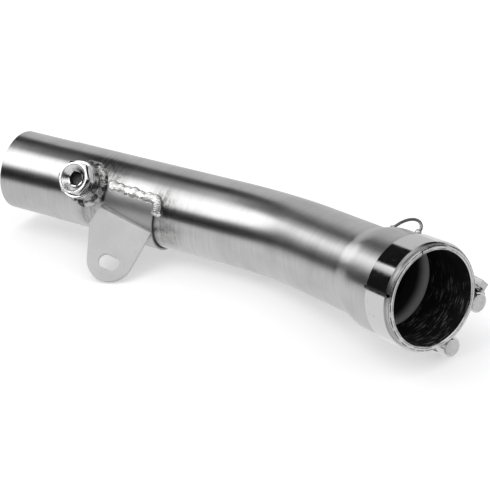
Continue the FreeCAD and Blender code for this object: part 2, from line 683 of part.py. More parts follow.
def around(angle):
    a = math.radians(angle)
    return V(0, -math.cos(a), -math.sin(a))


fall_angle = math.degrees(math.asin((top_z.n - val["saddle_fall"]) / saddle_r.n))
side_x = val["saddle_right"] + 1.5
top_run = val["saddle_width"] - 1.0
top_from = V(side_x - top_run, 0, 0) + around(-val["saddle_top"] - 0.3) * bead_r.n
corner = V(side_x, 0, 0) + around(-fall_angle - 2.5) * bead_r.n
top_way = (corner - top_from).normalize()
top_cross = V(0, 0, 1).cross(top_way).normalize()
top_bead = cylinder("top_bead", bead, (corner - top_from).Length,
                    frame_of(top_from, top_cross, top_way.cross(top_cross), top_way))
side_bead = doc.addObject("Part::Torus", "side_bead")
drive(side_bead, "Radius1", bead_r)
drive(side_bead, "Radius2", bead)
drive(side_bead, "Angle3", fall_angle + 2.5 + 5.0)
side_turn = FreeCAD.Placement(V(0, 0, side_x),
                              FreeCAD.Rotation(V(0, 0, 1), 180 - fall_angle - 2.5))
side_bead.Placement = ALONG_X.multiply(side_turn)
corner_ball = ball("corner_ball", bead, FreeCAD.Placement(corner, FreeCAD.Rotation()))
end_ball = ball("end_ball", bead, FreeCAD.Placement(
    V(side_x, 0, 0) + around(5.0) * bead_r.n, FreeCAD.Rotation()))
start_ball = ball("start_ball", bead, FreeCAD.Placement(top_from, FreeCAD.Rotation()))
beads = join("saddle_beads", [top_bead, side_bead, corner_ball, end_ball, start_ball])
weld_tools = join("saddle_weld_tools", [tube_solid, bracket_saddle, weld_ring])
saddle_weld = cut("saddle_weld", beads, weld_tools)
low_way = around(val["saddle_bottom"] + 1.5)
low_len = D("saddle_width") * 0.66
low_from = V(left.n - 0.8, 0, 0) + low_way * bead_r.n
low_bead = cylinder("low_bead", bead, low_len,
                    frame_of(low_from, V(0, 1, 0), V(0, 0, 1), V(1, 0, 0)))
low_ball_a = ball("low_ball_a", bead, FreeCAD.Placement(low_from, FreeCAD.Rotation()))
low_ball_b = ball("low_ball_b", bead, FreeCAD.Placement(low_from + V(low_len.n, 0, 0), FreeCAD.Rotation()))
low_beads = join("low_beads", [low_bead, low_ball_a, low_ball_b])
saddle_weld_low = cut("saddle_weld_low", low_beads, weld_tools)

# Weld behind the foot of the tab
foot_line = on(TAB, 2, -0.6, -7.0)
tab_bead = cylinder("tab_bead", 2.6, D("tab_width") - 4,
                    foot_line.multiply(frame_of(V(0, 0, 0), V(0, 1, 0), V(0, 0, 1), V(1, 0, 0))))
tab_weld = cut("tab_weld", tab_bead, join("tab_weld_tools", [saddle_solid, bracket_tab]))

# Spring hook: bent wire on the upper far side of the flare
hook_turn = math.radians(106.0)
radial = V(math.cos(hook_turn), math.sin(hook_turn), 0)
HOOK = OUTLET.multiply(frame_of(V(0, 0, 0), V(0, 0, 1), radial, V(0, 0, 1).cross(radial)))
hook_path = doc.addObject("Sketcher::SketchObject", "hook_path")
hook_path.Placement = HOOK


def above_flare(run, height):
    # a point of the hook: distance from the gasket face, height above the flare
    part = (run - val["flare_end"]) / (val["cone_low"] - val["flare_end"])
    part = min(max(part, 0.0), 1.0)
    return V(run, height + socket_r.n + (tube_r.n - socket_r.n) * part, 0)


HOOK_POINTS = [(54.0, -0.6), (51.8, 2.75), (48.0, 5.38), (42.5, 7.11), (37.6, 6.98), (34.2, 6.3),
               (31.9, 4.7), (31.1, 2.7), (31.5, 0.7), (32.4, -0.9)]
hook_line = [above_flare(run, height) for run, height in HOOK_POINTS]
curve = Part.BSplineCurve()
curve.interpolate(hook_line)
hook_path.addGeometry(curve, False)
wire_section = doc.addObject("Sketcher::SketchObject", "wire_section")
first_way = HOOK.Rotation.multVec(curve.tangent(curve.FirstParameter)[0])
wire_section.Placement = FreeCAD.Placement(
    HOOK.multVec(hook_line[0]),
    FreeCAD.Rotation(V(0, 0, 1), first_way))
wire_section.addGeometry(Part.Circle(V(0, 0, 0), V(0, 0, 1), val["wire_dia"] / 2), False)
wire_section.addConstraint(Sketcher.Constraint("Coincident", 0, 3, -1, 1))
i = wire_section.addConstraint(Sketcher.Constraint("Radius", 0, val["wire_dia"] / 2))
wire_section.setExpression("Constraints[%d]" % i, "Sizes.wire_dia / 2")
doc.recompute()
hook_wire = doc.addObject("Part::Sweep", "hook_wire")
hook_wire.Sections = [wire_section]
hook_wire.Spine = (hook_path, ["Edge1"])
hook_wire.Solid = True
hook_wire.Frenet = False
# outer form of the flare and socket, used to fit the hook
fit = free_sketch("flare_fit", leg, [
    (0.0, 0.0),
    (0.0, tube_r),
    (face - D("flare_start"), tube_r, 8.0, -1),
    (face - D("cone_low"), tube_r + D("cone_step_low")),
    (face - D("cone_high"), socket_r - D("cone_step_high"), 32.0, 1),
    (face - D("flare_end"), socket_r),
    (face - D("lip_thk"), socket_r),
    (face - D("lip_thk"), 0.0),
])
flare_solid = doc.addObject("Part::Revolution", "flare_solid")
flare_solid.Source = fit
flare_solid.Axis = way_out
flare_solid.Base = bend_end
flare_solid.Angle = 360.0
flare_solid.Solid = True
spring_hook = cut("spring_hook", hook_wire, flare_solid)
hook_place_a = HOOK.multiply(FreeCAD.Placement(above_flare(52.8, 0.9), FreeCAD.Rotation()))
hook_place_b = HOOK.multiply(FreeCAD.Placement(above_flare(31.9, 0.4), FreeCAD.Rotation()))
hook_ball_a = ball("hook_ball_a", 2.3, hook_place_a)
hook_ball_b = ball("hook_ball_b", 2.1, hook_place_b)
hook_balls = join("hook_balls", [hook_ball_a, hook_ball_b])
hook_welds = cut("hook_welds", hook_balls, join("hook_weld_tools", [flare_solid, hook_wire]))
doc.recompute()

# Every piece under its own name, laid in the resting pose
NODES = [
    ("main_tube", main_tube),
    ("gasket_sleeve", gasket_sleeve),
    ("clamp_band", clamp_band),
    ("barrel_plain", barrel_plain),
    ("barrel_threaded", barrel_threaded),
    ("clamp_screw", clamp_screw),
    ("sensor_boss", lambda_boss),
    ("boss_weld", boss_weld),
    ("plug_washer", plug_washer),
    ("sensor_plug", plug),
    ("bracket_saddle", bracket_saddle),
    ("bracket_tab", bracket_tab),
    ("saddle_weld", saddle_weld),
    ("saddle_weld_low", saddle_weld_low),
    ("tab_weld", tab_weld),
    ("spring_hook", spring_hook),
    ("hook_welds", hook_welds),
]
pieces = []
for name, shape_object in NODES:
    piece = doc.addObject("Part::Compound", name + "_piece")
    piece.Links = [shape_object]
    piece.Placement = REST
    pieces.append((name, piece))
doc.recompute()
for name, shape_object in NODES:
    shape_object.Label = name + "_form"
for name, piece in pieces:
    piece.Label = name

for obj in doc.Objects:
    state = [str(x) for x in obj.State]
    if "Invalid" in state or "Error" in state:
        raise RuntimeError("object failed: " + obj.Name)
for name, piece in pieces:
    shape = piece.Shape
    if shape.isNull() or not shape.isValid() or shape.Volume < 1.0:
        raise RuntimeError("bad shape: " + name)
    shape.exportStep("parts/%s.step" % name)
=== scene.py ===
import math
import bmesh
import bpy
from mathutils import Matrix, Vector


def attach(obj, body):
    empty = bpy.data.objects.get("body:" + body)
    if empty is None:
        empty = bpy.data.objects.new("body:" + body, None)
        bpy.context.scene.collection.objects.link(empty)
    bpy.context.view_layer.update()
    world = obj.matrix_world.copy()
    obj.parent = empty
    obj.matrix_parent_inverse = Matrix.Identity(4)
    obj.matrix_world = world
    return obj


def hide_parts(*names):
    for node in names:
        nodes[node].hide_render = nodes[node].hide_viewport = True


# Motorcycle link pipe lying on a pale floor: brushed tube with a slotted
# socket, polished band clamp, plugged sensor boss and welded hanger bracket.

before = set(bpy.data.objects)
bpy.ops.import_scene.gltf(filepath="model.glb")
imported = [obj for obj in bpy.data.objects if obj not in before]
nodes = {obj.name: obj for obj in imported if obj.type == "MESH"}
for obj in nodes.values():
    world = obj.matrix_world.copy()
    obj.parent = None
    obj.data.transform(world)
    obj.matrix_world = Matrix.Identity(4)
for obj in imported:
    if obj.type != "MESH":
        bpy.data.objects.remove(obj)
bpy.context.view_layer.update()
MM = 0.001

# Sizes and angles of the real object, in metres and radians. Before REST lays it
# down, the pipe runs along X from its inlet end and bends towards -Y in the XY plane.
# The upper edge of the saddle is above that plane by its angle, and the lower one below.
TUBE_R = 27.0 * MM
INLET_LEN = 163.4 * MM
BEND_RADIUS = 131.4 * MM
BEND = math.radians(30.57)
OUTLET_LEN = 110.8 * MM
FLARE_DEPTH = 60.0 * MM
LIP_DEPTH = 1.2 * MM
LIP_INNER_R = 28.0 * MM
SADDLE_THK = 2.0 * MM
SADDLE_TOP = math.radians(17.0)
SADDLE_FALL = 3.4 * MM
SADDLE_BOTTOM = math.radians(106.0)
SADDLE_RIGHT = 121.3 * MM
BOSS_X = 67.5 * MM
BOSS_TURN = math.radians(13.5)
BOSS_R = 12.2 * MM
PLUG_TOP = 44.6 * MM
PLUG_EDGE = 0.35 * MM
PLUG_FACE_R = 10.1 * MM
KEY_R = 5.25 * MM
BARREL_R = 4.85 * MM
BARREL_CIRCLE_R = 37.4 * MM
BARREL_A = math.radians(183.6)
BARREL_B = math.radians(229.8)
BAND_THK = 1.1 * MM
BAND_MIDDLE = 11.8 * MM
SCREW_R = 3.0 * MM
SCREW_LEN = 40.0 * MM
SCREW_PITCH = 1.0 * MM
SCREW_HEX = 10.0 * MM
SCREW_FLANGE_R = 7.0 * MM

# Fineness of the meshes
MERGE = 0.002 * MM
FLAT = math.radians(0.5)
CAD_SMOOTH = math.radians(30.0)
BUILT_SMOOTH = math.radians(40.0)
SCREW_STEPS = 28
FLANGE_STEPS = 64

# Light that reflections see where no softbox or dark card is
OPEN_LEVEL = 0.88

# The pose in which the pipe rests, and the way back from it
REST = (Matrix.Translation(Vector((-171.57, 34.79, 37.603)) * MM)
        @ Matrix.Rotation(math.radians(3.4695), 4, "Y")
        @ Matrix.Rotation(math.radians(-19.5606), 4, "X"))
BACK = REST.inverted()


def placed(origin, xdir, ydir, zdir):
    """The frame at origin with these three ways as its axes."""
    m = Matrix.Identity(4)
    for column, v in enumerate((xdir, ydir, zdir, origin)):
        for line in range(3):
            m[line][column] = v[line]
    return m


def bend_point(turn):
    """The point of the centreline at which the pipe has turned this far."""
    forward = BEND_RADIUS * math.sin(turn)
    aside = BEND_RADIUS * (1 - math.cos(turn))
    return Vector((INLET_LEN + forward, -aside, 0))


# Frames of the outlet, whose Z runs into the pipe from the gasket face, and of the
# boss, whose Z runs out through it from the axis of the tube
WAY_OUT = Vector((math.cos(BEND), -math.sin(BEND), 0))
FRONT_SIDE = Vector((-math.sin(BEND), -math.cos(BEND), 0))
GASKET_FACE = bend_point(BEND) + WAY_OUT * OUTLET_LEN
OUTLET = REST @ placed(GASKET_FACE, FRONT_SIDE, Vector((0, 0, 1)), -WAY_OUT)
INLET_WAY = Vector((1, 0, 0))
BOSS_OUT = Vector((0, -math.cos(BOSS_TURN), math.sin(BOSS_TURN)))
BOSS = REST @ placed(INLET_WAY * BOSS_X, INLET_WAY, BOSS_OUT.cross(INLET_WAY), BOSS_OUT)


def polar(radius, angle, z):
    return Vector((radius * math.cos(angle), radius * math.sin(angle), z))


def on_tube(x, angle, radius):
    """A point and its outward way on the inlet leg; the angle runs down from the bend plane."""
    way = Vector((0, -math.cos(angle), -math.sin(angle)))
    return REST @ (Vector((x, 0, 0)) + way * radius), (REST.to_3x3() @ way).normalized()


def from_centreline(point):
    """How far a point of the scene lies from the centreline of the pipe."""
    p = BACK @ point
    turn = min(max(math.atan2(p.x - INLET_LEN, p.y + BEND_RADIUS), 0.0), BEND)
    normal = Vector((math.sin(turn), math.cos(turn), 0))
    return math.hypot((p - bend_point(turn)).dot(normal), p.z)


# Meshes

def linked(name, data):
    """An object of the scene that holds a mesh, lamp or camera."""
    thing = bpy.data.objects.new(name, data)
    bpy.context.scene.collection.objects.link(thing)
    return thing


def mesh_of(bm, name, material):
    mesh = bpy.data.meshes.new(name)
    bm.to_mesh(mesh)
    bm.free()
    mesh.materials.append(material)
    return mesh


def shown(bm, name, material, node, smooth_below):
    """Turns a bmesh into a piece that rides on the pipe and stands for a CAD node."""
    for face in bm.faces:
        face.smooth = True
    for edge in bm.edges:
        edge.smooth = len(edge.link_faces) == 2 and edge.calc_face_angle(0.0) < smooth_below
    piece = linked(name, mesh_of(bm, name, material))
    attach(piece, "root")
    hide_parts(node)
    return piece


def built(bm, name, material, node):
    """Shows a mesh that was made here, once all its faces look outward."""
    bmesh.ops.recalc_face_normals(bm, faces=bm.faces[:])
    shown(bm, name, material, node, BUILT_SMOOTH)


def rounded(bm, edges, size, segments):
    bmesh.ops.bevel(bm, geom=edges, offset=size, offset_type="OFFSET", affect="EDGES",
                    segments=segments, profile=0.5, material=-1, clamp_overlap=True)


def refined(node, name, material, edge_round=0.0):
    """Shows a merged, smooth copy of a CAD node, with rounded edges where asked."""
    bm = bmesh.new()
    bm.from_mesh(nodes[node].data)
    bmesh.ops.remove_doubles(bm, verts=bm.verts[:], dist=MERGE)
    bmesh.ops.dissolve_degenerate(bm, edges=bm.edges[:], dist=MERGE)
    if edge_round > 0.0:
        bmesh.ops.dissolve_limit(bm, angle_limit=FLAT, verts=bm.verts[:], edges=bm.edges[:])
        sharp = [e for e in bm.edges
                 if len(e.link_faces) == 2 and e.calc_face_angle(0.0) > CAD_SMOOTH]
        rounded(bm, sharp, edge_round, 2)
    return shown(bm, name, material, node, CAD_SMOOTH)


def painted(piece, material, chosen):
    """Gives the faces that chosen picks a further material."""
    piece.data.materials.append(material)
    slot = len(piece.data.materials) - 1
    for polygon in piece.data.polygons:
        if chosen(polygon.center, polygon.normal):
            polygon.material_index = slot


def outline(bm, points, place):
    """A closed line through points, given as (radius, height) in the frame place."""
    verts = [bm.verts.new(place @ Vector((r, 0, z))) for r, z in points]
    edges = [bm.edges.new((verts[i], verts[(i + 1) % len(verts)])) for i in range(len(verts))]
    return verts + edges


def solid_of_turn(bm, points, place, steps):
    """Spins an outline once about the Z axis of place."""
    axis = place.to_3x3() @ Vector((0, 0, 1))
    bmesh.ops.spin(bm, geom=outline(bm, points, place), cent=place.translation, axis=axis,
                   dvec=(0, 0, 0), angle=math.tau, steps=steps, use_merge=True,
                   use_duplicate=False)
    bmesh.ops.remove_doubles(bm, verts=bm.verts[:], dist=MERGE)


def thread(bm, radius, pitch, start, end, place, steps):
    """A helical ridge from start to end along the Z axis of place, set into its core."""
    root = radius - 0.65 * pitch
    profile = [(root, 0.04), (radius, 0.42), (radius, 0.58), (root, 0.96)]
    ridge = outline(bm, [(r, start + share * pitch) for r, share in profile], place)
    axis = place.to_3x3() @ Vector((0, 0, 1))
    turns = int((end - start) / pitch) - 1
    bmesh.ops.spin(bm, geom=ridge, cent=place.translation, axis=axis,
                   dvec=axis * (pitch / steps), angle=math.tau * turns, steps=steps * turns,
                   use_merge=False, use_duplicate=False)
    open_ends = [e for e in bm.edges if len(e.link_faces) < 2]
    bmesh.ops.holes_fill(bm, edges=open_ends, sides=0)


def hexagon_head(bm, across, low, high, place):
    """A hexagon with its upper corners turned off."""
    radius = across / math.sqrt(3.0)
    middle = Matrix.Translation((0, 0, (low + high) / 2))
    made = bmesh.ops.create_cone(bm, cap_ends=True, segments=6, radius1=radius, radius2=radius,
                                 depth=high - low, matrix=place @ middle)
    inverse = place.inverted()
    top = [v for v in made["verts"] if (inverse @ v.co).z > high - 0.01 * MM]
    rim = [e for e in bm.edges if e.verts[0] in top and e.verts[1] in top]
    rounded(bm, rim, 0.45 * MM, 3)


def weld_scale(bm, centre, along, outward, length, width, height):
    """One scale of a weld bead: a flattened ball that leans along the seam."""
    lean = 0.3
    way = (along - outward * along.dot(outward)).normalized()
    leaned = (outward + way * lean).normalized()
    way = (way - leaned * way.dot(leaned)).normalized()
    across = leaned.cross(way)
    place = placed(centre, way * length, across * width, leaned * height)
    bmesh.ops.create_icosphere(bm, subdivisions=3, radius=1.0, matrix=place)


def bead(bm, path, pitch, width, height, wander):
    """Lays weld scales along a path of (point, outward) pairs; wander makes them uneven."""
    lengths = [0.0]
    for (a, _), (b, _) in zip(path, path[1:]):
        lengths.append(lengths[-1] + (b - a).length)
    count = max(int(lengths[-1] / pitch), 1)
    for i in range(count + 1):
        s = lengths[-1] * i / count
        k = max(j for j in range(len(lengths) - 1) if lengths[j] <= s + 1e-9)
        f = (s - lengths[k]) / max(lengths[k + 1] - lengths[k], 1e-9)
        point = path[k][0].lerp(path[k + 1][0], f)
        outward = path[k][1].lerp(path[k + 1][1], f).normalized()
        along = (path[k + 1][0] - path[k][0]).normalized()
        sway = (math.sin(i * 1.3) + 0.8 * math.sin(i * 0.47 + 1.0)) * wander
        drift = along.cross(outward) * (width * 0.5 * wander * math.sin(i * 0.61 + 0.5))
        weld_scale(bm, point + drift, along, outward, pitch * (2.2 + sway),
                   width * (1.0 + sway), height * (1.0 - 0.5 * sway))


# Node helpers

class Tree:
    """Adds nodes to a node tree and wires them."""

    def __init__(self, tree):
        self.tree = tree

    def add(self, kind, **settings):
        node = self.tree.nodes.new(kind)
        for key, value in settings.items():
            setattr(node, key, value)
        return node

    def feed(self, socket, value):
        if isinstance(value, bpy.types.NodeSocket):
            self.tree.links.new(value, socket)
        else:
            socket.default_value = value

    def math(self, operation, a, b=0.0):
        node = self.add("ShaderNodeMath", operation=operation)
        self.feed(node.inputs[0], a)
        self.feed(node.inputs[1], b)
        return node.outputs[0]

    def plus(self, a, b):
        return self.math("ADD", a, b)

    def minus(self, a, b):
        return self.math("SUBTRACT", a, b)

    def times(self, a, b):
        return self.math("MULTIPLY", a, b)

    def larger(self, a, b):
        return self.math("MAXIMUM", a, b)

    def smaller(self, a, b):
        return self.math("MINIMUM", a, b)

    def shares(self, a, share_a, b, share_b):
        return self.plus(self.times(a, share_a), self.times(b, share_b))

    def length(self, x, y):
        return self.math("SQRT", self.plus(self.math("POWER", x, 2.0), self.math("POWER", y, 2.0)))

    def fade(self, value, low, high, to_low=0.0, to_high=1.0):
        """Goes softly from to_low to to_high while the value goes from low to high."""
        node = self.add("ShaderNodeMapRange", interpolation_type="SMOOTHSTEP")
        self.feed(node.inputs["Value"], value)
        self.feed(node.inputs["From Min"], low)
        self.feed(node.inputs["From Max"], high)
        self.feed(node.inputs["To Min"], to_low)
        self.feed(node.inputs["To Max"], to_high)
        return node.outputs["Result"]

    def fall(self, value, low, high):
        """Is 1 up to low and 0 from high on."""
        return self.fade(value, low, high, 1.0, 0.0)

    def line_at(self, value, middle, width):
        """A mask that is 1 near middle and 0 beyond width from it."""
        return self.fall(self.math("ABSOLUTE", self.minus(value, middle)), width * 0.4, width)

    def parts(self, vector):
        node = self.add("ShaderNodeSeparateXYZ")
        self.feed(node.inputs[0], vector)
        return node.outputs[0], node.outputs[1], node.outputs[2]

    def vector(self, x, y, z):
        node = self.add("ShaderNodeCombineXYZ")
        for socket, value in zip(node.inputs, (x, y, z)):
            self.feed(socket, value)
        return node.outputs[0]

    def vector_math(self, operation, a, b):
        node = self.add("ShaderNodeVectorMath", operation=operation)
        self.feed(node.inputs[0], a)
        self.feed(node.inputs[1], b)
        return node.outputs

    def dot(self, a, b):
        return self.vector_math("DOT_PRODUCT", a, b)["Value"]

    def stretch(self, vector, scale):
        return self.vector_math("MULTIPLY", vector, scale)["Vector"]

    def near(self, vector, middle, inner, outer):
        """A mask that is 1 within inner of a point and 0 beyond outer."""
        return self.fall(self.vector_math("DISTANCE", vector, middle)["Value"], inner, outer)

    def moved(self, vector, matrix):
        """X, Y and Z of a place once a matrix has moved it."""
        return [self.plus(self.dot(vector, Vector(matrix[i][:3])), matrix[i][3]) for i in range(3)]

    def noise(self, vector, scale, detail=3.0, roughness=0.5, distortion=0.0):
        node = self.add("ShaderNodeTexNoise")
        self.feed(node.inputs["Vector"], vector)
        self.feed(node.inputs["Scale"], scale)
        self.feed(node.inputs["Detail"], detail)
        self.feed(node.inputs["Roughness"], roughness)
        self.feed(node.inputs["Distortion"], distortion)
        return node.outputs["Fac"]

    def blend(self, factor, a, b):
        node = self.add("ShaderNodeMix", data_type="RGBA")
        self.feed(node.inputs["Factor"], factor)
        self.feed(node.inputs["A"], a)
        self.feed(node.inputs["B"], b)
        return node.outputs["Result"]

    def two_greys(self, value, low, high, first, second):
        """Goes from the first grey to the second while the value goes from low to high."""
        return self.blend(self.fade(value, low, high), grey(first), grey(second))

    def bump(self, height, strength, distance):
        node = self.add("ShaderNodeBump")
        self.feed(node.inputs["Strength"], strength)
        self.feed(node.inputs["Distance"], distance)
        self.feed(node.inputs["Height"], height)
        return node.outputs["Normal"]

    def object_coordinates(self):
        return self.add("ShaderNodeTexCoord").outputs["Object"]

    def use(self, group, **values):
        node = self.add("ShaderNodeGroup")
        node.node_tree = group
        for key, value in values.items():
            self.feed(node.inputs[key], value)
        return node.outputs

    def by_ray(self, path, plain, glossy):
        """Shows reflections one shader, and all other rays another."""
        mix = self.add("ShaderNodeMixShader")
        self.feed(mix.inputs["Fac"], path.outputs["Is Glossy Ray"])
        self.feed(mix.inputs[1], plain)
        self.feed(mix.inputs[2], glossy)
        return mix.outputs[0]


class Metal(Tree):
    """A material with one metal shader."""

    def __init__(self, name, metallic=1.0):
        self.material = bpy.data.materials.new(name)
        self.material.use_nodes = True
        super().__init__(self.material.node_tree)
        self.tree.nodes.clear()
        self.shader = self.add("ShaderNodeBsdfPrincipled")
        self.feed(self.shader.inputs["Metallic"], metallic)
        output = self.add("ShaderNodeOutputMaterial")
        self.feed(output.inputs["Surface"], self.shader.outputs["BSDF"])

    def coat(self, tone, rough, normal):
        self.feed(self.shader.inputs["Base Color"], tone)
        self.feed(self.shader.inputs["Roughness"], rough)
        self.feed(self.shader.inputs["Normal"], normal)
        return self.material


def shader_group(name, inputs, outputs):
    """A node group: its socket Vector carries a place, each other one a number."""
    tree = bpy.data.node_groups.new(name, "ShaderNodeTree")
    for side, sockets in (("INPUT", inputs), ("OUTPUT", outputs)):
        for socket in sockets:
            kind = "NodeSocketVector" if socket == "Vector" else "NodeSocketFloat"
            tree.interface.new_socket(socket, in_out=side, socket_type=kind)
    kit = Tree(tree)
    return kit, kit.add("NodeGroupInput").outputs, kit.add("NodeGroupOutput").inputs


def grey(v, warm=0.0):
    return (v * (1 + warm), v, v * (1 - warm), 1.0)


# Shared effects

def pipe_places(kit, coords):
    """X, Y and Z on the pipe before it was laid down, and the turn of the bend there."""
    x, y, z = kit.moved(coords, BACK)
    turn = kit.math("ARCTAN2", kit.minus(x, INLET_LEN), kit.plus(y, BEND_RADIUS))
    return x, y, z, kit.smaller(kit.larger(turn, 0.0), BEND)


def pipe_axis(kit, coords):
    """The way in which the pipe runs at each point."""
    turn = pipe_places(kit, coords)[3]
    cosine = kit.math("COSINE", turn)
    sine = kit.math("SINE", turn)
    along = REST.to_3x3() @ Vector((1, 0, 0))
    aside = REST.to_3x3() @ Vector((0, -1, 0))
    return kit.vector(*[kit.shares(cosine, along[i], sine, aside[i]) for i in range(3)])


def round_axis(kit, coords, place):
    """Distance from the Z axis of place and height along it."""
    x, y, z = kit.moved(coords, place.inverted())
    return kit.length(x, y), z


def make_unbent():
    """Object coordinates followed along the pipe: X runs along its centreline."""
    kit, given, end = shader_group("unbent_pipe", ("Vector",), ("Vector", "Around"))
    x, y, z, turn = pipe_places(kit, given["Vector"])
    sine = kit.math("SINE", turn)
    cosine = kit.math("COSINE", turn)
    dx = kit.minus(kit.minus(x, INLET_LEN), kit.times(sine, BEND_RADIUS))
    dy = kit.minus(kit.plus(y, BEND_RADIUS), kit.times(cosine, BEND_RADIUS))
    forward = kit.minus(kit.times(dx, cosine), kit.times(dy, sine))
    aside = kit.plus(kit.times(dx, sine), kit.times(dy, cosine))
    arc = kit.plus(kit.times(turn, BEND_RADIUS), INLET_LEN)
    kit.feed(end["Vector"], kit.vector(kit.plus(arc, forward), aside, z))
    kit.feed(end["Around"], kit.math("ARCTAN2", z, aside))
    return kit.tree


def make_brushing():
    """Brush lines round the pipe: fine along it, long round it."""
    kit, given, end = shader_group("brush_lines", ("Vector", "Along", "Round"),
                                   ("Fine", "Broad", "Cloud"))
    place = given["Vector"]
    fine = kit.vector(given["Along"], given["Round"], given["Round"])
    broad = kit.stretch(fine, (0.22, 0.5, 0.5))
    kit.feed(end["Fine"], kit.noise(kit.stretch(place, fine), 1.0, 2.0, 0.6))
    kit.feed(end["Broad"], kit.noise(kit.stretch(place, broad), 1.0, 3.0, 0.55))
    kit.feed(end["Cloud"], kit.noise(place, 42.0, 4.0, 0.55))
    return kit.tree


def make_handling():
    """Fine scattered scratches and smudges from handling."""
    kit, given, end = shader_group("handling_marks", ("Vector", "Scale"), ("Scratches", "Smudges"))
    scaled = kit.add("ShaderNodeVectorMath", operation="SCALE")
    kit.feed(scaled.inputs[0], given["Vector"])
    kit.feed(scaled.inputs["Scale"], given["Scale"])
    place = scaled.outputs["Vector"]
    lines = kit.noise(kit.stretch(place, (900.0, 130.0, 240.0)), 1.0, 2.0, 0.5, 0.6)
    regions = kit.noise(place, 90.0, 2.0)
    scratches = kit.times(kit.fade(lines, 0.63, 0.72), kit.fade(regions, 0.45, 0.65))
    kit.feed(end["Scratches"], scratches)
    kit.feed(end["Smudges"], kit.noise(place, 120.0, 5.0, 0.6))
    return kit.tree


UNBENT = make_unbent()
BRUSH = make_brushing()
HANDLING = make_handling()

# Darkened places on the unbent pipe, heat staining by the boss and painted shade below it and by
# the saddle: X in metres and Y and Z in mm, then the reach of the full darkening and of its faded
# rim in mm, and its strength
STAINS_AND_SHADE = (
    # Heat staining beside the boss
    (BOSS_X + 8 * MM, -24, 10, 9, 27, 1.0),
    # Painted shade below the boss, left of the tab
    (BOSS_X + 5 * MM, -22, -15, 5, 16, 0.6),
    # Painted shade and painted reflection beside and under the saddle
    (SADDLE_RIGHT + 4 * MM, -26, 4, 4, 16, 1.0),
    (SADDLE_RIGHT + 5 * MM, -24, -12, 6, 19, 0.75),
)


def heat_stain_and_shade(kit, unbent, broad):
    """Patchy darkening: heat staining by the boss, painted shade below it and by the saddle."""
    spot = 0.0
    for x, y, z, inner, outer, strength in STAINS_AND_SHADE:
        mask = kit.near(unbent, (x, y * MM, z * MM), inner * MM, outer * MM)
        spot = kit.larger(spot, kit.times(mask, strength))
    patch = kit.shares(kit.noise(unbent, 260.0, 5.0, 0.7), 0.6, broad, 0.4)
    return kit.times(spot, kit.fade(patch, 0.45, 0.58, 0.4, 1.0))


# Materials

def make_tube_steel():
    """Satin tube, brushed round: its shine spreads along the pipe."""
    kit = Metal("brushed_tube")
    coords = kit.object_coordinates()
    unbent = kit.use(UNBENT, Vector=coords)["Vector"]
    brush = kit.use(BRUSH, Vector=unbent, Along=3600.0, Round=45.0)
    smudges = kit.use(HANDLING, Vector=unbent, Scale=1.0)["Smudges"]
    streaks = kit.shares(brush["Fine"], 0.5, brush["Broad"], 0.5)
    stain_and_shade = heat_stain_and_shade(kit, unbent, brush["Broad"])
    tone = kit.two_greys(brush["Cloud"], 0.3, 0.7, 0.55, 0.64)
    tone = kit.blend(kit.fade(streaks, 0.4, 0.62, 0.0, 0.28), tone, grey(0.42))
    # Heat staining and painted shade darken the tube here
    tone = kit.blend(kit.times(stain_and_shade, 0.8), tone, grey(0.1, 0.04))
    rough = kit.plus(kit.fade(brush["Fine"], 0.3, 0.7, 0.27, 0.31), kit.times(smudges, 0.06))
    kit.feed(kit.shader.inputs["Anisotropic"], 0.7)
    kit.feed(kit.shader.inputs["Tangent"], pipe_axis(kit, coords))
    height = kit.shares(brush["Broad"], 0.8, brush["Fine"], 0.2)
    return kit.coat(tone, rough, kit.bump(height, 0.16, 0.1 * MM))


def make_lit_and_shaded_flare():
    """Flared inside of the socket: a pale non-metal tone as painted light, darkening inwards as
    painted shade.
    """
    kit = Metal("flared_inside", 0.0)
    coords = kit.object_coordinates()
    unbent = kit.use(UNBENT, Vector=coords)["Vector"]
    brush = kit.use(BRUSH, Vector=unbent, Along=900.0, Round=60.0)
    _, depth = round_axis(kit, coords, OUTLET)
    # Painted light: a pale non-metal tone stands in for the bright metal at the mouth
    tone = kit.two_greys(brush["Cloud"], 0.3, 0.7, 0.92, 1.0)
    # Painted shade: nearly black deeper inside the socket
    tone = kit.blend(kit.fade(depth, 37 * MM, 47 * MM), tone, grey(0.02))
    rough = kit.fade(brush["Broad"], 0.3, 0.7, 0.28, 0.42)
    return kit.coat(tone, rough, kit.bump(brush["Broad"], 0.2, 0.1 * MM))


def make_shaded_bore():
    """Inside of the tube: rough as drawn, and dark grey as painted shade deep in the bore."""
    kit = Metal("tube_bore")
    unbent = kit.use(UNBENT, Vector=kit.object_coordinates())["Vector"]
    brush = kit.use(BRUSH, Vector=unbent, Along=500.0, Round=90.0)
    tone = kit.two_greys(brush["Cloud"], 0.3, 0.7, 0.1, 0.2)
    rough = kit.fade(brush["Broad"], 0.3, 0.7, 0.45, 0.6)
    return kit.coat(tone, rough, kit.bump(brush["Broad"], 0.2, 0.1 * MM))


def make_polished():
    """Polished steel of the clamp strap, the plug's flats, the boss and the washer."""
    kit = Metal("polished_band")
    coords = kit.object_coordinates()
    marks = kit.use(HANDLING, Vector=coords, Scale=1.6)
    tone = kit.blend(marks["Scratches"], grey(0.66), grey(0.5))
    rough = kit.plus(kit.fade(marks["Smudges"], 0.35, 0.7, 0.06, 0.12),
                     kit.times(marks["Scratches"], 0.2))
    return kit.coat(tone, rough, kit.bump(kit.noise(coords, 160.0, 2.0), 0.15, 0.1 * MM))


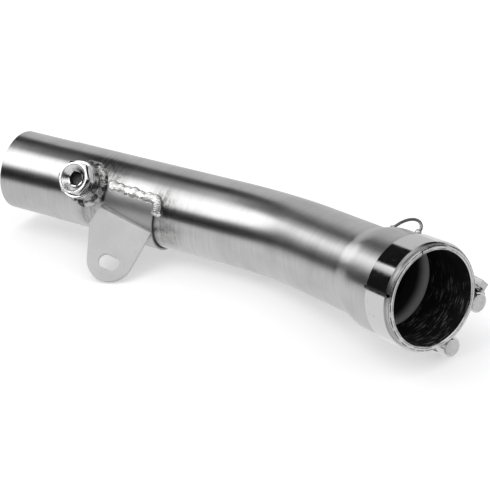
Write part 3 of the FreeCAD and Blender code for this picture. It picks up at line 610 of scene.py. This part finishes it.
def make_plate():
    """Rolled plate of the bracket."""
    kit = Metal("plate_steel")
    coords = kit.object_coordinates()
    brush = kit.use(BRUSH, Vector=coords, Along=900.0, Round=500.0)
    marks = kit.use(HANDLING, Vector=coords, Scale=1.2)
    tone = kit.two_greys(brush["Cloud"], 0.3, 0.7, 0.5, 0.56)
    tone = kit.blend(marks["Scratches"], tone, grey(0.42))
    rough = kit.fade(brush["Fine"], 0.3, 0.7, 0.36, 0.46)
    return kit.coat(tone, rough, kit.bump(brush["Fine"], 0.2, 0.05 * MM))


def make_machined():
    """Turned steel of the barrels and the screw."""
    kit = Metal("machined_steel")
    smudges = kit.use(HANDLING, Vector=kit.object_coordinates(), Scale=2.0)["Smudges"]
    tone = kit.two_greys(smudges, 0.35, 0.65, 0.5, 0.62)
    rough = kit.fade(smudges, 0.3, 0.7, 0.16, 0.3)
    return kit.coat(tone, rough, kit.bump(smudges, 0.2, 0.08 * MM))


def make_weld(name, dark_tone, bright):
    """Weld metal with duller, faintly warm patches."""
    kit = Metal(name)
    coords = kit.object_coordinates()
    patch = kit.noise(coords, 230.0, 4.0, 0.65)
    tone = kit.blend(kit.fade(patch, 0.42, 0.56), grey(dark_tone, 0.01), grey(bright))
    rough = kit.fade(patch, 0.3, 0.7, 0.42, 0.24)
    grain = kit.plus(kit.noise(coords, 900.0), kit.noise(coords, 320.0, 2.0))
    return kit.coat(tone, rough, kit.bump(grain, 0.8, 0.35 * MM))


def make_plug_face():
    """Turned face of the plug: fine lathe rings and one groove, painted dark as shade."""
    kit = Metal("turned_face")
    coords = kit.object_coordinates()
    away, _ = round_axis(kit, coords, BOSS)
    rings = kit.noise(kit.vector(kit.times(away, 2600.0), 0.0, 0.0), 1.0, 2.0)
    groove = kit.line_at(away, 8.75 * MM, 0.4 * MM)
    smudges = kit.use(HANDLING, Vector=coords, Scale=2.4)["Smudges"]
    tone = kit.two_greys(rings, 0.35, 0.65, 0.78, 0.9)
    # Painted shade in the groove
    tone = kit.blend(kit.times(groove, 0.85), tone, grey(0.1))
    rough = kit.fade(smudges, 0.3, 0.7, 0.2, 0.32)
    height = kit.minus(kit.times(rings, 0.2), groove)
    return kit.coat(tone, rough, kit.bump(height, 0.6, 0.2 * MM))


def make_recess_shade():
    """Key recess walls and bottom: unpolished broached metal, painted dark as shade."""
    kit = Metal("broached_recess", 0.6)
    lines = kit.noise(kit.stretch(kit.object_coordinates(), (1800.0, 500.0, 500.0)), 1.0)
    tone = kit.two_greys(lines, 0.35, 0.65, 0.03, 0.09)
    rough = kit.fade(lines, 0.3, 0.7, 0.32, 0.5)
    return kit.coat(tone, rough, kit.bump(lines, 0.3, 0.1 * MM))


def make_cut_edge_and_shadow():
    """Cut edge of the saddle, with a painted shadow where it meets the tube."""
    kit = Metal("cut_edge", 0.7)
    coords = kit.object_coordinates()
    lines = kit.noise(kit.stretch(coords, (700.0, 1500.0, 500.0)), 1.0)
    _, aside, rise = kit.parts(kit.use(UNBENT, Vector=coords)["Vector"])
    # Painted shadow: black where the edge meets the tube
    gap_shadow = kit.fall(kit.length(aside, rise), TUBE_R + 0.6 * MM, TUBE_R + 1.2 * MM)
    tone = kit.blend(gap_shadow, kit.two_greys(lines, 0.35, 0.65, 0.4, 0.6), grey(0.01))
    rough = kit.fade(lines, 0.3, 0.7, 0.5, 0.7)
    return kit.coat(tone, rough, kit.bump(lines, 0.4, 0.1 * MM))


def make_sleeve():
    """Dark gasket sleeve with bright dashes that run round its lower part."""
    kit = Metal("dark_sleeve", 0.35)
    coords = kit.object_coordinates()
    followed = kit.use(UNBENT, Vector=coords)
    brush = kit.use(BRUSH, Vector=followed["Vector"], Along=4200.0, Round=110.0)
    along, _, _ = kit.parts(followed["Vector"])
    _, _, height = kit.parts(coords)
    lines = kit.vector(kit.times(along, 1500.0), kit.times(followed["Around"], 2.6), 0.0)
    dashes = kit.times(kit.fade(kit.noise(lines, 1.0, 3.0, 0.7), 0.55, 0.68),
                       kit.fade(brush["Cloud"], 0.38, 0.52))
    dashes = kit.times(dashes, kit.fade(height, 22 * MM, 50 * MM, 1.0, 0.2))
    tone = kit.blend(dashes, grey(0.01), grey(0.6))
    rough = kit.fade(dashes, 0.0, 1.0, 0.62, 0.35)
    return kit.coat(tone, rough, kit.bump(brush["Fine"], 0.4, 0.15 * MM))


def make_lip():
    """Rolled lip of the sleeve: pale metal with two broken dark rings."""
    kit = Metal("sleeve_lip")
    coords = kit.object_coordinates()
    smudges = kit.use(HANDLING, Vector=coords, Scale=1.5)["Smudges"]
    away, _ = round_axis(kit, coords, OUTLET)
    wobble = kit.times(kit.minus(kit.noise(coords, 120.0, 2.0), 0.5), 0.5 * MM)
    away = kit.plus(away, wobble)
    outer_ring = kit.line_at(away, 29.7 * MM, 0.3 * MM)
    inner_ring = kit.line_at(away, 28.3 * MM, 0.2 * MM)
    rings = kit.times(kit.larger(outer_ring, inner_ring),
                      kit.fade(kit.noise(coords, 200.0), 0.38, 0.5))
    tone = kit.blend(rings, kit.two_greys(smudges, 0.4, 0.62, 0.55, 0.72), grey(0.03))
    rough = kit.fade(smudges, 0.3, 0.7, 0.2, 0.34)
    dents = kit.minus(kit.noise(coords, 900.0), rings)
    return kit.coat(tone, rough, kit.bump(dents, 0.35, 0.15 * MM))


def make_wire():
    """Drawn wire of the spring hook."""
    kit = Metal("hook_wire")
    coords = kit.object_coordinates()
    tone = kit.blend(kit.noise(coords, 500.0), grey(0.2), grey(0.36))
    rough = kit.fade(kit.noise(coords, 700.0, 2.0), 0.3, 0.7, 0.22, 0.36)
    return kit.coat(tone, rough, kit.bump(kit.noise(coords, 1800.0, 2.0), 0.2, 0.05 * MM))


TUBE_STEEL = make_tube_steel()
LIT_AND_SHADED_FLARE = make_lit_and_shaded_flare()
POLISHED = make_polished()
PLATE = make_plate()
MACHINED = make_machined()
WELD = make_weld("weld_metal", 0.62, 0.93)
# Boss weld darkened by heat staining and by painted shade below the boss
STAINED_AND_SHADED_WELD = make_weld("boss_weld_metal", 0.07, 0.56)
PLUG_FACE = make_plug_face()
RECESS_SHADE = make_recess_shade()
CUT_EDGE_AND_SHADOW = make_cut_edge_and_shadow()
SHADED_BORE = make_shaded_bore()
SLEEVE = make_sleeve()
LIP = make_lip()
WIRE = make_wire()


# Pieces

def build_tube():
    """The tube: satin outside, painted shade in the bore and inlet rim, painted light in the
    flare.
    """
    piece = refined("main_tube", "link_tube", TUBE_STEEL)
    to_outlet = OUTLET.inverted()

    def inside(centre, normal):
        return from_centreline(centre + normal * MM) - from_centreline(centre) < -0.3 * MM

    def bore_or_inlet_rim(centre, normal):
        return inside(centre, normal) or abs((BACK @ centre).x) < 0.01 * MM

    def flare(centre, normal):
        return inside(centre, normal) and (to_outlet @ centre).z < FLARE_DEPTH

    # The bore and the inlet rim get painted shade, the flare its painted light and shade
    painted(piece, SHADED_BORE, bore_or_inlet_rim)
    painted(piece, LIT_AND_SHADED_FLARE, flare)


def build_plug():
    """Hexagon plug: polished flats, turned face, painted shade in the key recess."""
    piece = refined("sensor_plug", "blanking_plug", POLISHED, PLUG_EDGE)
    to_boss = BOSS.inverted()
    face_depth = 3.8 * MM
    wall_depth = 8.2 * MM
    bottom_depth = 7.0 * MM
    bottom_r = 5.0 * MM

    def measured(centre, normal):
        """Depth below the top, distance from the axis and rise of the normal."""
        place = to_boss @ centre
        return PLUG_TOP - place.z, math.hypot(place.x, place.y), (to_boss.to_3x3() @ normal).z

    def dished_face(centre, normal):
        depth, away, rise = measured(centre, normal)
        return depth < face_depth and away < PLUG_FACE_R and rise > 0.2

    def key_recess(centre, normal):
        depth, away, rise = measured(centre, normal)
        on_wall = depth < wall_depth and away < KEY_R and rise < 0.3
        on_bottom = depth > bottom_depth and away < bottom_r
        return on_wall or on_bottom

    painted(piece, PLUG_FACE, dished_face)
    # Painted shade on the walls and bottom of the key recess
    painted(piece, RECESS_SHADE, key_recess)


def build_saddle():
    """Saddle plate whose cut edge on its right carries a painted shadow by the tube."""
    piece = refined("bracket_saddle", "saddle_plate", PLATE)
    painted(piece, CUT_EDGE_AND_SHADOW, lambda centre, normal: (BACK.to_3x3() @ normal).x > 0.5)


def build_sleeve():
    """Gasket sleeve: dark pressed liner inside, bright rolled lip at the mouth."""
    piece = refined("gasket_sleeve", "gasket_liner", SLEEVE)
    to_outlet = OUTLET.inverted()

    def on_lip(centre, normal):
        place = to_outlet @ centre
        return place.z < LIP_DEPTH or math.hypot(place.x, place.y) > LIP_INNER_R

    painted(piece, LIP, on_lip)


def build_screw():
    """Flanged hexagon screw of the clamp, threaded up to its head."""
    a = polar(BARREL_CIRCLE_R, BARREL_A, BAND_MIDDLE)
    b = polar(BARREL_CIRCLE_R, BARREL_B, BAND_MIDDLE)
    way = (a - b).normalized()
    place = OUTLET @ placed(a, Vector((0, 0, 1)), way.cross(Vector((0, 0, 1))), way)
    seat = BARREL_R + BAND_THK + 0.05 * MM
    end = seat - SCREW_LEN
    core = SCREW_R - 0.5 * MM
    tip = 0.5 * MM
    shank = [(0, end), (core - tip, end), (core, end + tip), (core, seat), (0, seat)]
    rim = 0.3 * MM
    cone_top = seat + 2.6 * MM
    flange = [(0, seat), (SCREW_FLANGE_R - rim, seat), (SCREW_FLANGE_R, seat + rim),
              (SCREW_FLANGE_R, seat + 0.9 * MM), (SCREW_FLANGE_R - rim, seat + 1.2 * MM),
              (SCREW_HEX / 2 + 0.3 * MM, cone_top), (0, cone_top)]
    bm = bmesh.new()
    solid_of_turn(bm, shank, place, SCREW_STEPS)
    thread(bm, SCREW_R, SCREW_PITCH, end + 0.3 * MM, seat - 2 * MM, place, SCREW_STEPS)
    solid_of_turn(bm, flange, place, FLANGE_STEPS)
    hexagon_head(bm, SCREW_HEX, seat + 0.8 * MM, seat + 6.6 * MM, place)
    built(bm, "flange_screw", MACHINED, "clamp_screw")


def build_boss_weld():
    """Bead round the boss's foot on the tube, dark with heat staining and painted shade."""
    bm = bmesh.new()
    ring = BOSS_R + 1.25 * MM
    spread = 0.55
    steps = 48
    path = []
    for i in range(steps + 1):
        angle = math.tau * i / steps
        side = ring * math.sin(angle)
        height = math.sqrt(TUBE_R ** 2 - side ** 2)
        point = BOSS @ Vector((ring * math.cos(angle), side, height + 0.2 * MM))
        outward = Vector((spread * math.cos(angle), side / TUBE_R + spread * math.sin(angle),
                          height / TUBE_R))
        path.append((point, (BOSS.to_3x3() @ outward).normalized()))
    bead(bm, path, pitch=1.2 * MM, width=2.7 * MM, height=1.5 * MM, wander=0.14)
    built(bm, "boss_bead", STAINED_AND_SHADED_WELD, "boss_weld")


def build_saddle_weld():
    """Bead along the upper edge of the saddle and down its right edge."""
    bm = bmesh.new()
    outside = TUBE_R + SADDLE_THK
    radius = TUBE_R + SADDLE_THK / 2 + 0.15 * MM
    left_angle = SADDLE_TOP + 0.01
    right_angle = math.asin((outside * math.sin(SADDLE_TOP) - SADDLE_FALL) / outside) + 0.045
    right_x = SADDLE_RIGHT + 1.4 * MM
    upper_run = 35.5 * MM
    side_turn = math.radians(16.0)
    path = []
    for i in range(9):
        f = i / 8
        angle = -left_angle * (1 - f) - right_angle * f
        path.append(on_tube(right_x - upper_run * (1 - f), angle, radius))
    for i in range(1, 6):
        path.append(on_tube(right_x, -right_angle + side_turn * i / 5, radius))
    bead(bm, path, pitch=1.1 * MM, width=3.4 * MM, height=1.4 * MM, wander=0.14)
    built(bm, "saddle_bead", WELD, "saddle_weld")


def build_low_weld():
    """Bead along the lower edge of the saddle."""
    bm = bmesh.new()
    radius = TUBE_R + SADDLE_THK / 2
    angle = SADDLE_BOTTOM + math.radians(1.5)
    path = [on_tube(x * MM, angle, radius) for x in (84.0, 96.0, 108.0)]
    bead(bm, path, pitch=1.6 * MM, width=2.4 * MM, height=1.7 * MM, wander=0.08)
    built(bm, "low_bead", WELD, "saddle_weld_low")


refined("clamp_band", "band_clamp", POLISHED)
refined("barrel_plain", "plain_barrel", MACHINED)
refined("barrel_threaded", "tapped_barrel", MACHINED)
refined("sensor_boss", "boss_ring", POLISHED)
refined("plug_washer", "crush_washer", POLISHED)
refined("bracket_tab", "hanger_tab", PLATE)
refined("spring_hook", "spring_wire", WIRE)
build_tube()
build_plug()
build_saddle()
build_sleeve()
build_screw()
build_boss_weld()
build_saddle_weld()
build_low_weld()
refined("tab_weld", "tab_bead", WELD)
refined("hook_welds", "hook_beads", WELD)


# Floor, light and camera

def build_floor():
    """Pale floor that camera rays see a little lighter.

    Reflections see it as bright as the open studio, but dark away from the pipe in
    front and to the left.
    """
    camera_lift = 0.36
    dark_level = 0.05
    material = bpy.data.materials.new("pale_floor")
    material.use_nodes = True
    kit = Tree(material.node_tree)
    kit.tree.nodes.clear()
    path = kit.add("ShaderNodeLightPath")
    diffuse = kit.add("ShaderNodeBsdfDiffuse")
    kit.feed(diffuse.inputs["Color"], grey(0.8))
    lift = kit.add("ShaderNodeEmission")
    kit.feed(lift.inputs["Strength"], kit.times(path.outputs["Is Camera Ray"], camera_lift))
    pale = kit.add("ShaderNodeAddShader")
    kit.feed(pale.inputs[0], diffuse.outputs[0])
    kit.feed(pale.inputs[1], lift.outputs[0])
    glow = kit.add("ShaderNodeEmission")
    x, y, _ = kit.parts(kit.object_coordinates())
    far = kit.fade(kit.length(x, y), 0.31, 0.45)
    front_left = kit.times(kit.fall(y, 0.0, 0.16), kit.fall(x, 0.1, 0.2))
    dark = kit.times(far, front_left)
    kit.feed(glow.inputs["Strength"], kit.fade(dark, 0.0, 1.0, OPEN_LEVEL, dark_level))
    output = kit.add("ShaderNodeOutputMaterial")
    kit.feed(output.inputs["Surface"], kit.by_ray(path, pale.outputs[0], glow.outputs[0]))
    bm = bmesh.new()
    bmesh.ops.create_grid(bm, x_segments=1, y_segments=1, size=6.0)
    linked("pale_floor", mesh_of(bm, "pale_floor", material))


def build_world():
    """Plain studio light, in which only reflections see a softbox and dark cards.

    dx, dy and dz are the parts of the way in which a ray leaves: right, to the far
    side and up, as the camera sees them. The world isn't sampled as a lamp, because
    that would mix its plain and its banded parts.
    """
    skyline = (0.41, 0.54)
    box_level = 3.1
    box_end_level = 0.7
    least_box_level = 1.15
    soft_drop = 1.5
    near_drop = 2.05
    card_share = 0.015
    lamp_way = Vector((-0.91, 0.37, 0.18)).normalized()
    lamp_level = 3.0

    world = bpy.data.worlds.new("studio")
    bpy.context.scene.world = world
    world.cycles.sampling_method = "NONE"
    world.use_nodes = True
    kit = Tree(world.node_tree)
    kit.tree.nodes.clear()
    way = kit.add("ShaderNodeTexCoord").outputs["Generated"]
    dx, dy, dz = kit.parts(way)

    # The softbox ends at the skyline below and at a slanting card beside it
    height = kit.minus(dz, kit.times(dx, 0.1))
    slant = kit.plus(dy, kit.times(dx, 0.5))
    notch = kit.times(kit.fade(dx, -0.42, -0.2), kit.fall(dy, 0.12, 0.29))
    beside = kit.fade(kit.minus(slant, notch), -0.385, -0.285)
    softbox = kit.times(kit.fade(height, *skyline), kit.minus(1.0, beside))

    # Dark parts: below the skyline, beside the softbox and low on the right
    before_far_side = kit.fall(dy, 0.57, 0.64)
    card = kit.times(beside, before_far_side)
    horizon = kit.times(kit.fall(height, *skyline), before_far_side)
    low_right = kit.times(kit.fade(dx, -0.2, -0.05), kit.fall(dz, 0.25, 0.4))
    dark = kit.larger(kit.larger(horizon, card), low_right)

    # The softbox is dimmer at its left end, towards the card and on the near right
    soft_side = kit.times(kit.fade(slant, -0.7, -0.35), kit.fade(dx, -0.8, -0.62))
    soft_side = kit.times(soft_side, kit.fade(dy, -0.42, -0.3))
    near_right = kit.times(kit.fade(dx, -0.35, -0.2), kit.fall(dy, -0.42, -0.28))
    bright = kit.fade(dx, -0.95, -0.76, box_end_level, box_level)
    bright = kit.minus(bright, kit.times(soft_side, soft_drop))
    bright = kit.larger(kit.minus(bright, kit.times(near_right, near_drop)), least_box_level)

    level = kit.plus(kit.times(softbox, kit.minus(bright, OPEN_LEVEL)), OPEN_LEVEL)
    level = kit.times(level, kit.fade(dark, 0.0, 1.0, 1.0, card_share))
    side_lamp = kit.fade(kit.dot(way, lamp_way), 0.965, 0.99, 0.0, lamp_level)
    level = kit.larger(level, side_lamp)

    banded = kit.add("ShaderNodeBackground")
    kit.feed(banded.inputs["Strength"], level)
    plain = kit.add("ShaderNodeBackground")
    kit.feed(plain.inputs["Strength"], 1.0)
    path = kit.add("ShaderNodeLightPath")
    output = kit.add("ShaderNodeOutputWorld")
    kit.feed(output.inputs["Surface"], kit.by_ray(path, plain.outputs[0], banded.outputs[0]))


def build_key_light():
    """Wide soft lamp above, in front and to the left, which reflections don't show."""
    lamp = bpy.data.lights.new("soft_key", "AREA")
    lamp.shape = "DISK"
    lamp.size = 0.9
    lamp.energy = 3.0
    lamp_object = linked("soft_key", lamp)
    lamp_object.location = (-0.35, -0.45, 1.1)
    to_pipe = -lamp_object.location
    lamp_object.rotation_euler = to_pipe.to_track_quat("-Z", "Y").to_euler()
    lamp_object.visible_glossy = False


def build_camera():
    """The camera of the photo, fitted to points on the pipe."""
    place = Vector((0.3779, -0.6463, 0.3941))
    forward = Vector((-0.4354, 0.7857, -0.4394)).normalized()
    right = Vector((0.8824, 0.4688, -0.0364)).normalized()
    up = right.cross(forward).normalized()
    right = forward.cross(up).normalized()
    camera = bpy.data.cameras.new("camera")
    camera.lens = 98.99
    camera.sensor_width = 36.0
    camera.clip_start = 0.01
    camera_object = linked("camera", camera)
    camera_object.matrix_world = placed(place, right, up, -forward)
    bpy.context.scene.camera = camera_object


build_floor()
build_world()
build_key_light()
build_camera()
bpy.context.scene.view_settings.view_transform = "Standard"
